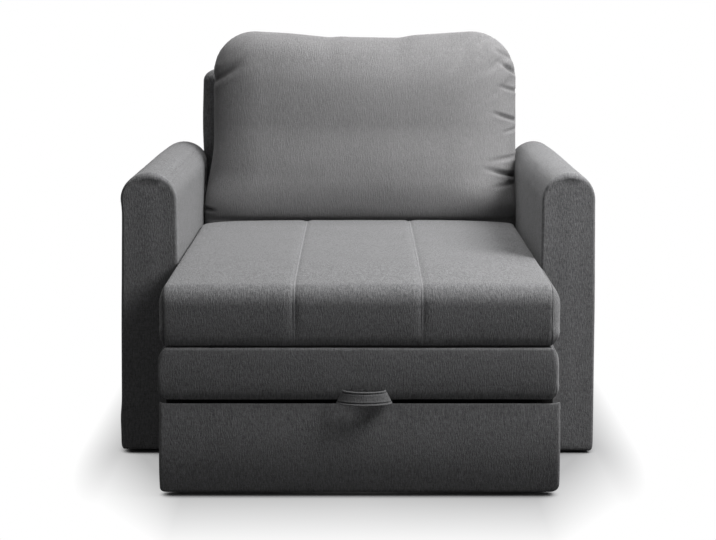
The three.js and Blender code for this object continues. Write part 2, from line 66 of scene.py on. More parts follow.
quarter = math.pi / 2

# Camera, fitted to the photograph
photo_width = 716
focal_pixels = 1517.4
photo_drop = 36  # pixels by which the view is shifted
sensor_width = 36  # millimetres
camera_place = (-0.003, -3.373, 1.001)
camera_pitch = math.radians(9.45)


def make_camera():
    data = bpy.data.cameras.new("camera")
    data.sensor_width = sensor_width
    data.lens = focal_pixels / photo_width * sensor_width
    data.shift_y = -photo_drop / photo_width
    camera = bpy.data.objects.new("camera", data)
    camera.location = camera_place
    camera.rotation_euler = (quarter - camera_pitch, 0, 0)
    bpy.context.scene.collection.objects.link(camera)
    bpy.context.scene.camera = camera


# Mesh tools

weld = 0.02 * mm  # points nearer than this are joined
tiny = 1e-6
widest_corner = 0.95  # of the half width
sharpest_corner = 0.25  # of its radius, inside the outline
noise_shift = (3.7, 1.9, 5.3)  # from seed to seed


def mesh_object(name, points, faces, material):
    """A smooth-shaded mesh object with its faces turned outward."""
    mesh = bpy.data.meshes.new(name)
    mesh.from_pydata([tuple(p) for p in points], [], faces)
    shell = bmesh.new()
    shell.from_mesh(mesh)
    bmesh.ops.remove_doubles(shell, verts=shell.verts, dist=weld)
    bmesh.ops.recalc_face_normals(shell, faces=shell.faces)
    shell.to_mesh(mesh)
    shell.free()
    mesh.shade_smooth()
    mesh.materials.append(material)
    piece = bpy.data.objects.new(name, mesh)
    bpy.context.scene.collection.objects.link(piece)
    return piece


def points_of(piece):
    points = np.empty(len(piece.data.vertices) * 3)
    piece.data.vertices.foreach_get("co", points)
    return points.reshape(-1, 3)


def normals_of(piece):
    normals = np.empty(len(piece.data.vertices) * 3)
    piece.data.vertex_normals.foreach_get("vector", normals)
    return normals.reshape(-1, 3)


def set_points(piece, points):
    piece.data.vertices.foreach_set("co", np.ascontiguousarray(points, np.float32).ravel())
    piece.data.update()


def push(piece, amount):
    """Moves each point along its normal."""
    set_points(piece, points_of(piece) + normals_of(piece) * amount[:, None])


def paint(piece, name, values):
    """Writes a value per point for the fabric to read."""
    layer = piece.data.attributes.new(name, "FLOAT", "POINT")
    layer.data.foreach_set("value", np.clip(values, 0, 1).astype(np.float32))


def ramp(low, high, values):
    """0 below low, 1 above high, smooth between."""
    t = np.clip((values - low) / (high - low), 0, 1)
    return t * t * (3 - 2 * t)


def bell(distance, width):
    return np.exp(-((distance / width) ** 2))


def between(pair, share):
    return pair[0] + (pair[1] - pair[0]) * share


def soft_table(table, places, shifts):
    """Reads rows of (place, value) in millimetres, averaged over a few shifts to soften its corners."""
    places_read, values = np.array(table).T * mm
    return sum(np.interp(places + shift * mm, places_read, values) for shift in shifts) / len(shifts)


def waves(points, size, height, seed):
    """Smooth noise from -height to height at each point."""
    shift = Vector([seed * step for step in noise_shift])
    return np.array([noise.noise(Vector(p) / size + shift) for p in points]) * height


def straight(start, end, count):
    """Points along a straight run, without its last."""
    share = np.linspace(0, 1, count, endpoint=False)[:, None]
    return np.array(start) * (1 - share) + np.array(end) * share


def bend(centre, radius, start, end, count):
    """Points along an arc, without its last."""
    angle = np.linspace(start, end, count, endpoint=False)
    return np.array(centre) + radius * np.stack([np.cos(angle), np.sin(angle)], 1)


def half_loop(half, low, high, radii, counts):
    """The right half of an outline with round corners, from its low end's middle to its high end's."""
    first = min(radii[0], half * widest_corner)
    last = min(radii[1], half * widest_corner) if counts["high"] else half
    return np.concatenate([
        straight((0, low), (half - first, low), counts["low"]),
        bend((half - first, low + first), first, -quarter, 0, counts["low_arc"]),
        straight((half, low + first), (half, high - last), counts["side"]),
        bend((half - last, high - last), last, 0, quarter, counts["high_arc"]),
        straight((half - last, high), (0, high), counts["high"]),
    ])


def loop(half, low, high, right_radii, left_radii, counts):
    """A closed outline. Its point i faces point n - i across the middle line."""
    right = half_loop(half, low, high, right_radii, counts)
    left = half_loop(half, low, high, left_radii, counts)[1:][::-1] * (-1, 1)
    return np.concatenate([right, [[0, high]], left])


def lying(outline, height):
    """The outline laid on its side, so that its right half is its top, about a height."""
    return np.stack([outline[:, 1], outline[:, 0] + height], 1)


def inner_radius(radius, inset):
    """A corner's radius on a line drawn inside the outline."""
    return max(radius - inset, radius * sharpest_corner)


def ring_faces(rings, count):
    """The faces between closed rings of points."""
    return [
        (r * count + i, r * count + (i + 1) % count, (r + 1) * count + (i + 1) % count, (r + 1) * count + i)
        for r in range(rings - 1)
        for i in range(count)
    ]


def loft(name, outline, stations, axis, material, counts):
    """A closed form: outline(inset) at each (place, inset) station along an axis, its two ends closed."""
    rings = []
    for place, inset in stations:
        flat = outline(inset)
        columns = [flat[:, 0], flat[:, 1]]
        columns.insert(axis, np.full(len(flat), place))
        rings.append(np.stack(columns, 1))
    count = len(rings[0])
    faces = ring_faces(len(rings), count)
    first, last, middle = counts["low"] + counts["low_arc"], counts["high_arc"] + counts["high"], count // 2
    for base in (0, (len(rings) - 1) * count):
        faces.append(tuple(base + i % count for i in range(-first, first + 1)))
        faces.append(tuple(base + i for i in range(middle - last, middle + last + 1)))
        for i in range(first, middle - last):
            faces.append((base + i, base + i + 1, base + count - i - 1, base + count - i))
    return mesh_object(name, np.concatenate(rings), faces, material)


def slab_stations(low, high, edge, deepest, grid):
    """Stations from the middle of one face, over its round edge and along the side, to the other face."""
    step, edge_steps = grid
    faces = max(2, round((deepest - edge) / step))
    inner = [(low, inset) for inset in np.linspace(deepest, edge, faces, endpoint=False)]
    angles = np.linspace(0, quarter, edge_steps, endpoint=False)
    turn = [(low + edge * (1 - math.cos(a)), edge * (1 - math.sin(a))) for a in angles]
    near = inner + turn
    far = [(low + high - place, inset) for place, inset in reversed(near)]
    runs = max(1, round((high - low - 2 * edge) / step))
    side = [(place, 0) for place in np.linspace(low + edge, high - edge, runs + 1)]
    return near + side + far


# Fabric and other materials


class Nodes:
    """A short way to write a node tree."""

    def __init__(self, name):
        self.material = bpy.data.materials.new(name)
        self.material.use_nodes = True
        self.tree = self.material.node_tree
        self.shader = self.tree.nodes["Principled BSDF"]

    def add(self, kind, inputs=None, **settings):
        node = self.tree.nodes.new(kind)
        for key, value in settings.items():
            setattr(node, key, value)
        for key, value in (inputs or {}).items():
            self.feed(node.inputs[key], value)
        return node

    def feed(self, socket, value):
        if isinstance(value, bpy.types.NodeSocket):
            self.tree.links.new(value, socket)
        else:
            socket.default_value = value

    def math(self, operation, *values):
        node = self.add("ShaderNodeMath", operation=operation)
        for socket, value in zip(node.inputs, values):
            self.feed(socket, value)
        return node.outputs[0]

    def mix(self, share, first, second):
        return self.add("ShaderNodeMix", {0: share, 2: first, 3: second}, data_type="FLOAT").outputs[0]

    def tint(self, share, first, second):
        node = self.add("ShaderNodeMix", {0: share, 6: first, 7: second}, data_type="RGBA")
        return node.outputs[2]

    def spread(self, value, low, high, to_low=0.0, to_high=1.0):
        inputs = {0: value, 1: low, 2: high, 3: to_low, 4: to_high}
        return self.add("ShaderNodeMapRange", inputs, clamp=True).outputs[0]

    def noise(self, place, size, detail=2.0):
        """Noise whose blobs are size = (x, y, z) metres across."""
        scale = tuple(1 / s for s in size)
        mapping = self.add("ShaderNodeMapping", {"Vector": place, "Scale": scale})
        inputs = {"Vector": mapping.outputs[0], "Scale": 1.0, "Detail": detail, "Roughness": 0.55}
        return self.add("ShaderNodeTexNoise", inputs).outputs[0]

    def finish(self, colour, height, lift, **sockets):
        bump = self.add("ShaderNodeBump", {"Height": height, "Distance": lift, "Strength": 1.0})
        self.feed(self.shader.inputs["Base Color"], colour)
        self.feed(self.shader.inputs["Normal"], bump.outputs[0])
        for key, value in sockets.items():
            self.shader.inputs[key.replace("_", " ")].default_value = value
        return self.material


coolness = 0.02  # by which grey's blue is over its green
side_facing = (0.6, 0.8)  # how far a face looks sideways where the sides' weave takes over
yarn_width = 2.6 * mm
grain_size = 1.5 * mm
cloud_size = 60 * mm
thread_pitch = 1.7 * mm
pick_share = 0.4  # of what the slubs add
cloud_share = 0.12
weave_share = 0.05
yarn_tones = (0.42, 1.58)  # darkest and lightest yarn, in shares of the fabric's tone
# painted shade for seams, creases and gaps, and painted highlight for raised threads and hems, in shares of
# the fabric's tone
painted_shade_tone, painted_highlight_tone = 0.12, 1.9
weave_lift, grain_lift = 0.12, 0.3  # beside the slubs' height
nap = 0.9 * mm


def grey(level, warmth=0.0):
    return (level * (1 + warmth), level, level * (1 + coolness - warmth), 1)


def woven(name, tone, slub_length, slub_share, grain_share, warmth=0.0):
    """Heathered plain weave with vertical slubs. Points painted seam get painted shade, and points painted
    thread a painted highlight.
    """
    n = Nodes(name)
    coords = n.add("ShaderNodeTexCoord")
    place = coords.outputs["Object"]
    facing = n.add("ShaderNodeSeparateXYZ", {0: coords.outputs["Normal"]}).outputs[0]
    sideways = n.spread(n.math("ABSOLUTE", facing), *side_facing)
    fine, long = yarn_width, slub_length
    slubs = n.mix(sideways, n.noise(place, (fine, long, long)), n.noise(place, (long, fine, long)))
    picks = n.mix(
        sideways,
        n.noise(place, (long, fine, fine), 1.0),
        n.noise(place, (fine, long, fine), 1.0),
    )
    grain = n.noise(place, (grain_size,) * 3, 1.0)
    cloud = n.noise(place, (cloud_size,) * 3)
    axes = n.add("ShaderNodeSeparateXYZ", {0: place}).outputs
    thread = 2 * math.pi / thread_pitch
    warp = n.math("SINE", n.math("MULTIPLY", n.mix(sideways, axes[0], axes[1]), thread))
    down = n.mix(sideways, n.math("ADD", axes[1], axes[2]), axes[2])
    weft = n.math("SINE", n.math("MULTIPLY", down, thread))
    weave = n.math("MULTIPLY", warp, weft)
    shares = (slub_share, slub_share * pick_share, grain_share, cloud_share)
    yarn = 0.5
    for layer, share in zip((slubs, picks, grain, cloud), shares):
        yarn = n.math("MULTIPLY_ADD", n.math("SUBTRACT", layer, 0.5), share, yarn)
    yarn = n.math("MULTIPLY_ADD", weave, weave_share, yarn)
    dark, light = (grey(tone * share, warmth) for share in yarn_tones)
    colour = n.tint(n.spread(yarn, 0.0, 1.0), dark, light)
    # painted shade where seam is painted, painted highlight where thread is painted
    seam = n.add("ShaderNodeAttribute", attribute_name="seam").outputs["Fac"]
    lit = n.add("ShaderNodeAttribute", attribute_name="thread").outputs["Fac"]
    colour = n.tint(seam, colour, grey(tone * painted_shade_tone))
    colour = n.tint(lit, colour, grey(tone * painted_highlight_tone))
    height = n.math("MULTIPLY_ADD", weave, weave_lift, n.math("MULTIPLY_ADD", grain, grain_lift, slubs))
    return n.finish(
        colour,
        height,
        nap,
        Roughness=0.93,
        Sheen_Weight=0.12,
        Sheen_Roughness=0.45,
        Specular_IOR_Level=0.15,
    )


def wood():
    """Sawn and sanded softwood."""
    ring_size, pore_size = (220 * mm, 30 * mm, 9 * mm), (30 * mm, 4 * mm, 1.2 * mm)
    pore_share = 0.5
    early, late = (0.66, 0.48, 0.28, 1), (0.46, 0.30, 0.15, 1)
    n = Nodes("timber")
    place = n.add("ShaderNodeTexCoord").outputs["Object"]
    rings = n.noise(place, ring_size, 4.0)
    pores = n.noise(place, pore_size)
    share = n.math("MULTIPLY_ADD", n.math("SUBTRACT", pores, 0.5), pore_share, rings)
    colour = n.tint(n.spread(share, 0.25, 0.75), early, late)
    return n.finish(colour, share, 0.4 * mm, Roughness=0.62, Specular_IOR_Level=0.35)


def steel():
    mark_size = (1 * mm, 14 * mm, 1 * mm)
    dull, bright = (0.42, 0.42, 0.43, 1), (0.62, 0.62, 0.63, 1)
    n = Nodes("castor_steel")
    place = n.add("ShaderNodeTexCoord").outputs["Object"]
    marks = n.noise(place, mark_size)
    return n.finish(n.tint(marks, dull, bright), marks, 0.1 * mm, Roughness=0.36, Metallic=1.0)


def plastic(name, level):
    """Moulded plastic with a fine grain and faint scuffs."""
    grain, scuff_size = 0.8 * mm, (12 * mm, 12 * mm, 3 * mm)
    dark, light = (grey(level * share) for share in (0.7, 1.4))
    n = Nodes(name)
    place = n.add("ShaderNodeTexCoord").outputs["Object"]
    mould = n.noise(place, (grain,) * 3)
    scuffs = n.noise(place, scuff_size, 3.0)
    return n.finish(n.tint(scuffs, dark, light), mould, 0.08 * mm, Roughness=0.48)


# Name, tone, slub length, and what slubs and grain add
chair_fabric = woven("chair_fabric", 0.17, 9 * mm, 1.1, 0.65)
cushion_fabric = woven("cushion_fabric", 0.21, 13 * mm, 0.34, 0.35, 0.01)
strap_fabric = woven("strap_fabric", 0.15, 6 * mm, 0.7, 0.7)
# near-black webbing for the hinge band, also put on the platform rails as painted shade
band_and_shade_fabric = woven("band_and_shade_fabric", 0.012, 6 * mm, 0.5, 0.5)
timber = wood()
castor_steel = steel()
wheel_plastic = plastic("wheel_plastic", 0.03)
glide_plastic = plastic("glide_plastic", 0.02)


def dress(piece, body, nodes):
    """Hangs a piece on the empty of the body it rides on, and hides the model's parts it stands for."""
    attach(piece, body)
    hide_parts(*nodes)


# Arms

arm_counts = {"low": 3, "low_arc": 4, "side": 44, "high_arc": 16, "high": 0}
arm_grid = (12 * mm, 10)  # step, and steps round its edges
arm_core = 5 * mm  # half width of its ends' innermost ring
arm_edge = 13 * mm  # round edge of the front facing
side_edge_share = 0.45  # of that radius, down its two sides
crest_ends = (0.95, 0.55)  # share of the round top's rise where the crest meets the sides
# Along the edge from the flat of the facing, at the crest and down the sides
facing_seam = (0.5 * mm, 7 * mm)
facing_seam_width = 1.0 * mm
facing_seam_depth = 0.9 * mm
facing_seam_foot = 8 * mm
facing_hollow = (30 * mm, 16 * mm, 0.8 * mm)  # in from the edge, width and depth
arm_ripples = ((0.2, 0.9 * mm, 1), (0.05, 0.3 * mm, 4))  # size, height and seed
arm_foot = 14 * mm
arm_outer = {  # height, and how far the outer side stands out there, in millimetres
    "left": ((35, 12), (80, 12.5), (115, 9), (528, -2.2), (553, 0.5), (607, 1)),
    "right": ((50, 1.2), (300, -1.5), (550, -6.5), (607, -5)),
}
arm_outer_soft = (-6, 6)
arm_outer_from = -0.3  # share of the half width from which it is moved
arm_foot_drop = {"left": 3.5 * mm, "right": 6.5 * mm}
arm_foot_height = 40 * mm
arm_rear_drop = (4 * mm, 9 * mm)  # along its rear third, and over its rear edge
arm_rear_starts = (0.6, 0.93)  # share of its depth where each begins
arm_rear_foot = 0.3  # height above which it drops


def arm(side):
    name = "left" if side < 0 else "right"
    low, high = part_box(f"{name}_arm_cover")
    half = (high.x - low.x) / 2
    middle = (high.x + low.x) / 2

    def outline(inset):
        radii = (inner_radius(arm_foot, inset), 0)
        shape = loop(half - inset, low.z + inset, high.z - inset, radii, radii, arm_counts)
        return shape + (middle, 0)

    stations = slab_stations(low.y, high.y, arm_edge, half - arm_core, arm_grid)
    piece = loft(f"{name}_arm_upholstery", outline, stations, 1, chair_fabric, arm_counts)
    points = points_of(piece)
    ahead = points[:, 1] - low.y
    spring = high.z - half
    off = np.stack([points[:, 0] - middle, np.maximum(points[:, 2] - spring, 0)], 1)
    around = np.maximum(np.linalg.norm(off, axis=1), tiny)
    inset = half - around
    down_side = ramp(*crest_ends, off[:, 1] / around)
    turn = np.arctan2(np.maximum(arm_edge - ahead, 0), np.maximum(arm_edge - inset, tiny))
    along = np.where(inset < arm_edge, (quarter - turn) * arm_edge, arm_edge - inset)
    on_front = (ahead < arm_edge) & (points[:, 2] > low.z + facing_seam_foot)
    off_seam = along - between(facing_seam, down_side)
    near_seam = np.where(on_front, bell(off_seam, facing_seam_width), 0) * (1 - 0.5 * down_side)
    # painted shade along the facing's seam, beside its sunk groove
    paint(piece, "seam", near_seam * 0.5)
    crisp = (1 - side_edge_share) * down_side * (ahead < arm_edge + 0.1 * mm)
    outward = inset * crisp * ramp(3 * arm_edge, arm_edge, inset)
    points[:, [0, 2]] += off / around[:, None] * outward[:, None]
    points[:, 1] -= ahead * crisp
    set_points(piece, points)
    swell = sum(waves(points, size, height, seed + side) for size, height, seed in arm_ripples)
    hollow_in, hollow_width, hollow_depth = facing_hollow
    swell -= bell(inset - hollow_in, hollow_width) * (ahead < 2 * mm) * hollow_depth
    push(piece, swell - near_seam * facing_seam_depth)
    points = points_of(piece)
    outer = ramp(arm_outer_from, 1, (points[:, 0] - middle) * side / half)
    points[:, 0] += side * outer * soft_table(arm_outer[name], points[:, 2], arm_outer_soft)
    points[:, 2] -= arm_foot_drop[name] * ramp(low.z + arm_foot_height, low.z, points[:, 2])
    behind = (points[:, 1] - low.y) / (high.y - low.y)
    third, edge = arm_rear_starts
    drop = arm_rear_drop[0] * ramp(third, 1, behind)
    drop += arm_rear_drop[1] * np.clip((behind - edge) / (1 - edge), 0, 1) ** 2
    points[:, 2] -= drop * ramp(arm_rear_foot, spring, points[:, 2])
    set_points(piece, points)
    press_round_back(piece, side)
    dress(piece, "chair_frame", [f"{name}_arm_cover"])


def press_round_back(piece, side):
    """Presses an arm's inner face outward where the back panel stands against it, off the seat."""
    clear_of_seat, clear_of_back = 0.3 * mm, 1 * mm
    low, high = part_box("back_cover")
    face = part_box("right_arm_cover")[0].x - clear_of_seat
    pressed = high.x + clear_of_back
    points = points_of(piece)
    limit = between((face, pressed), ramp(low.y - 12 * mm, low.y + 2 * mm, points[:, 1]))
    points[:, 0] = side * np.maximum(points[:, 0] * side, limit)
    set_points(piece, points)


# Back panel

back_counts = {"low": 30, "low_arc": 6, "side": 56, "high_arc": 8, "high": 30}
back_grid = (13 * mm, 8)
back_core = 80 * mm
back_edge = 24 * mm
back_corner = 26 * mm
back_ripple = (0.18, 1.5 * mm)  # size and height
rear_seam_inset = 4 * mm  # past its round edge
rear_seam_width = 2.2 * mm
rear_seam_depth = 1.6 * mm
rear_seam_reach = 12 * mm
back_bulge = 6 * mm  # how far its sides stand out above the arms
back_bulge_place = (40 * mm, 130 * mm)  # above the arms, and its height


def back_panel():
    low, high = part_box("back_cover")
    half = (high.x - low.x) / 2

    def outline(inset):
        radii = (inner_radius(back_edge, inset), inner_radius(back_corner, inset))
        return loop(half - inset, low.z + inset, high.z - inset, radii, radii, back_counts)

    stations = slab_stations(low.y, high.y, back_edge, half - back_core, back_grid)
    piece = loft("back_upholstery", outline, stations, 1, chair_fabric, back_counts)
    points = points_of(piece)
    from_ends = np.minimum(high.z - points[:, 2], points[:, 2] - low.z)
    past_edge = np.minimum(half - np.abs(points[:, 0]), from_ends) - back_edge
    rear = points[:, 1] > (low.y + high.y) / 2
    near = bell(past_edge - rear_seam_inset, rear_seam_width)
    seam = np.where(rear & (np.abs(past_edge) < rear_seam_reach), near, 0)
    # painted shade along the rear seam, which is also sunk
    paint(piece, "seam", seam * 0.6)
    push(piece, waves(points, *back_ripple, 7) - seam * rear_seam_depth)
    points = points_of(piece)
    above_arms, bulge_height = back_bulge_place
    arm_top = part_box("left_arm_cover")[1].z
    bulge = bell(points[:, 2] - arm_top - above_arms, bulge_height) * back_bulge
    points[:, 0] += bulge * np.clip(points[:, 0] / half, -1, 1) ** 3
    set_points(piece, points)
    dress(piece, "chair_frame", ["back_cover"])


# Seat sections

seat_counts = {"low": 6, "low_arc": 10, "side": 66, "high_arc": 10, "high": 6}
gusset_shares = (0.012, 0.03, 0.06, 0.1, 0.16, 0.24, 0.34, 0.46, 0.6, 0.74, 0.87)
seam_lines = (9, 6, 4, 2.6, 1.6, 0.8, 0)  # of the mesh beside a seam, in millimetres from it
panel_margins = (15 * mm, 14 * mm)  # from its left and right seams to the free lines
panel_step = 12 * mm
panel_gap = 10 * mm  # least distance of a free line from a channel
channel_place = 0.325  # of the seat's half width
channel_grooves = ((7 * mm, 3.2 * mm), (1.3 * mm, -1.2 * mm))  # width and depth of the pull and its thread
channel_thread = 2 * mm
channel_share_ahead = 0.7  # how deep it is on the front, where it also fades toward the foot
gusset_groove = (3.2 * mm, 1.8 * mm)
gusset_seam = 1.1 * mm
gusset_thread = (3 * mm, 0.9 * mm)  # inside the seam, and its width
seat_ripple = (0.11, 0.8 * mm)
under_squeeze = 0.6  # share by which a lower front edge is shallower than it is high
front_lean = (2.5 * mm, 5 * mm)  # how far the front curves back, at the top and at the foot
gap_shade_ahead = (3 * mm, 5 * mm)  # from the front, where the painted shade in the gap between the sections begins
gap_shade_behind = (60 * mm, 50 * mm)  # and ends
rear_corner_share = 0.9  # of its half width and half length, where its crown starts to fall
upper_form = {
    "radii": (36 * mm, 22 * mm),  # of its front and rear edges, at the top and at the foot
    "crown": 10 * mm,
    "seams": (378.5 * mm, 372.5 * mm),  # left and right, from the middle
    "seam_swell": (0.0, 0.0),  # how far its seams bow outward ahead of the arms
    "gusset_swell": 11 * mm,
    "drop": 0.0,  # how far it hangs in front of what carries it
    "panel_shift": -3 * mm,
}
lower_form = {
    "radii": (5 * mm, 18 * mm),
    "crown": 0.0,
    "seams": (379 * mm, 376 * mm),
    "seam_swell": (13 * mm, 8 * mm),
    "gusset_swell": 1.5 * mm,
    "drop": 2 * mm,
    "panel_shift": 0.0,
}


def gusset_rings(seam, side, half):
    return [(seam + (side - seam) * (1 - (1 - share) ** 3), share * half) for share in gusset_shares]


def section_stations(form, side, half, lines):
    """Stations across a seat section: its gussets' rings, and lines across the panel between its seams."""
    left, right = form["seams"]
    spots = np.arange(-left + panel_margins[0], right - panel_margins[1], panel_step)
    spots = [x for x in spots if all(abs(x - line) > panel_gap for line in lines)]
    offsets = [offset * mm for offset in seam_lines]
    for line in lines:
        spots += [line + offset for offset in offsets] + [line - offset for offset in offsets[:-1]]
    spots += [right - offset for offset in offsets] + [offset - left for offset in offsets]
    panel = sorted(set(round(x, 5) for x in spots))
    near = [(-place, inset) for place, inset in reversed(gusset_rings(left, side, half))]
    return near + [(x, 0) for x in panel] + gusset_rings(right, side, half)


def sew_section(piece, form, lines, off_end, bounds):
    """Sinks a section's seams and channels, paints shade along its seams and highlight on its threads, and
    paints shade on its strip that faces the other.
    """
    low, high, middle, half = bounds
    x, y, z = points_of(piece).T
    along = (2 * y - low.y - high.y) / (high.y - low.y)
    rise = np.clip((z - middle) / half, 0, 1)
    width, depth = gusset_groove
    groove = bell(off_end, width) * depth
    lit = bell(off_end + gusset_thread[0], gusset_thread[1]) * (off_end < 0) * 0.8
    for line in lines:
        off = np.abs(x - line)
        front = ramp(-0.86, -0.97, along)
        shown = np.maximum(rise, channel_share_ahead * front * np.clip((z - low.z) / half, 0, 1))
        groove += shown * sum(bell(off, width) * depth for width, depth in channel_grooves)
        lit = np.maximum(lit, shown * bell(off, channel_thread))
    # painted highlight on the channel threads and just inside the gusset seams
    paint(piece, "thread", lit * 0.3)
    # painted shade along the gusset seams, and on the strip in the shadowed gap where the two sections meet
    meeting = low.z + 2 * mm - z if form is upper_form else z - high.z + 1 * mm
    ahead_edge = y - low.y
    gap_shade = ramp(0, 1 * mm, meeting) * ramp(*gap_shade_ahead, ahead_edge) * ramp(*gap_shade_behind, ahead_edge)
    paint(piece, "seam", np.maximum(bell(off_end, gusset_seam) * 0.75, gap_shade * (off_end < -4 * mm)))
    push(piece, -groove)


def seat_section(name, node, form, lines, seed):
    """A seat section: a panel wrapped over top and front between two sewn-in gussets."""
    low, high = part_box(node)
    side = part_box("platform_right_rail")[1].x  # beside the arms
    arms_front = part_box("left_arm_cover")[0].y
    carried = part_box("platform_front_rail")[0].y
    top = high.z - form["crown"]
    half, middle = (top - low.z) / 2, (top + low.z) / 2
    upper, lower = form["radii"]

    def outline(inset):
        right = (inner_radius(upper, inset),) * 2
        left = (inner_radius(lower, inset),) * 2
        return lying(loop(half - inset, low.y + inset, high.y - inset, right, left, seat_counts), middle)

    stations = section_stations(form, side, half, lines)
    piece = loft(name, outline, stations, 0, chair_fabric, seat_counts)
    x, y, z = points_of(piece).T
    seam, swell = (np.where(x > 0, form[key][1], form[key][0]) for key in ("seams", "seam_swell"))
    off_end = np.abs(x) - seam
    across, along = x / side, (2 * y - low.y - high.y) / (high.y - low.y)
    up = (z - middle) / half
    rise, fall = np.clip(up, 0, 1), np.clip(-up, 0, 1)
    ahead = 1 - ramp(arms_front - 60 * mm, arms_front - 4 * mm, y)
    ahead_edge = y - low.y
    sew_section(piece, form, lines, off_end, (low, high, middle, half))
    points = points_of(piece)
    front_fall = np.clip(-along, 0, 1) ** 2
    to_corner = [np.clip(way - rear_corner_share, 0, 1) * 10 for way in (np.abs(across), along)]
    rear_corner = np.clip(np.hypot(*to_corner) - 0.5, 0, 1)
    points[:, 2] += rise * form["crown"] * ((1 - across**6) * (1 - front_fall) - rear_corner**2)
    bow = ramp(-60 * mm, 0, off_end) * (1 - rise**3 - fall**6) * swell
    bulge = np.clip(off_end / (side - seam), 0, 1) * form["gusset_swell"]
    points[:, 0] += np.sign(x) * (bulge + bow) * ahead
    squeezed = ahead_edge * under_squeeze * ramp(60 * mm, lower, ahead_edge) * ramp(-0.3, -0.6, up)
    lean = np.where(up > 0, *front_lean) * up**2 * ramp(low.y + 40 * mm, low.y, y)
    points[:, 1] += lean - squeezed
    drop = form["drop"] * (1 - ramp(carried - 20 * mm, carried - 2 * mm, y))
    points[:, 2] -= drop * fall
    points += normals_of(piece) * waves(points, *seat_ripple, seed)[:, None]
    points[:, 1] = np.maximum(points[:, 1], low.y)
    beside_arms = ramp(arms_front - 30 * mm, arms_front - 4 * mm, points[:, 1])
    limit = side + (1 - beside_arms) * 16 * mm
    points[:, 0] = np.clip(points[:, 0], -limit, limit)
    points[:, 2] = np.maximum(points[:, 2], low.z - drop)
    set_points(piece, points)
    return piece


def seat():
    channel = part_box("platform_right_rail")[1].x * channel_place
    shift = upper_form["panel_shift"]
    upper_nodes = ["upper_section_cover", "upper_section_foam"]
    lower_nodes = ["lower_section_cover", "lower_section_foam"]
    channels = [shift - channel, shift + channel]
    upper = seat_section("upper_section_upholstery", upper_nodes[0], upper_form, channels, 11)
    dress(upper, "upper_section", upper_nodes)
    lower = seat_section("lower_section_upholstery", lower_nodes[0], lower_form, [], 17)
    dress(lower, "chair_frame", lower_nodes)


# Loose back cushion

pillow_counts = {"low": 16, "low_arc": 14, "side": 50, "high_arc": 14, "high": 16}
pillow_left = 359 * mm  # its widths from the middle, above its flared foot
pillow_right = 386 * mm
pillow_top = 881 * mm  # at the peaks of its corners
pillow_corners = (103 * mm, 113 * mm)
pillow_foot = 46 * mm
pillow_lift = 4 * mm  # of its foot over the model's
pillow_roll = (120 * mm, 46 * mm)  # width and depth of its rounded border on each side
pillow_dome = 26 * mm
pillow_brow = 5 * mm  # how far it is fuller just below its upper edge
brow_place = (32 * mm, 30 * mm)  # below the top, and its height
pillow_depth = 84 * mm  # from its middle plane to the back panel
pillow_lean = 36 * mm
pillow_flare = (24 * mm, 5 * mm)
# Along its upper edge in millimetres: place across, and drop below the peaks
pillow_crest = (
    ((-260, 0), (-170, 5), (-72, 15), (-45, 12.5), (-24, 14)) +
    ((99, 16), (131, 9.5), (202, 5), (277, 0))
)
crest_soft = (-8, 0, 8)
pillow_overhang = 24 * mm  # how far it bulges out over the rear edge of the seat
pillow_gap = -4 * mm  # from the seat up to where it curves under
pillow_curl = 95 * mm  # height over which it curves under
pillow_fullness = (0.45, 0.25)  # of its foot, and more of it toward the right
pillow_creases = (  # in millimetres, from where: across, up; to where: across, up; depth and width
    (374, 814, 318, 843, 3, 7),
    (379, 782, 330, 814, 6, 6),
    (379, 737, 330, 752, 5, 5.5),
    (379, 666, 310, 690, 6.5, 6),
    (383, 642, 345, 634, 4, 5),
    (380, 575, 298, 567, 4, 7),
    (384, 530, 290, 555, 9, 7),
    (365, 511, 315, 505, 3.5, 7),
    (-352, 768, -272, 815, 7, 15),
    (-376, 452, -346, 447, 10, 5.5),
)
crease_shade = (3.5 * mm, 9 * mm)  # depth where a crease starts to darken, and over how much more
even_face = 7 * mm
spare_width = (90 * mm, 15 * mm)  # from its right edge, where spare cloth starts and where it is full
cloth = {"quality": 6, "mass": 0.3, "use_pressure": True}
cloth_stiffness = {"tension": 15, "compression": 15, "shear": 5, "bending": 0.08}
cloth_groups = {"vertex_group_mass": "sewn", "vertex_group_shrink": "spare"}
cloth_shrink = {"shrink_min": 0.002, "shrink_max": -0.15}  # of its spare parts, which grow
fill_pressure = 5.0
fill_reach = 22 * mm  # furthest that filling it moves a point
fill_frames = 24


def pillow_stations():
    """From the middle of its front, over the rolled border and its seam, to the middle of its back."""
    wide, deep = pillow_roll
    panel = [(-deep, inset) for inset in np.linspace(2.1 * wide, wide, 12, endpoint=False)]
    angles = np.linspace(quarter, 0, 14, endpoint=False)
    roll = [(-deep * math.sin(a), wide * (1 - math.cos(a))) for a in angles]
    near = panel + roll
    return near + [(0.0, 0.0)] + [(-place, inset) for place, inset in reversed(near)]


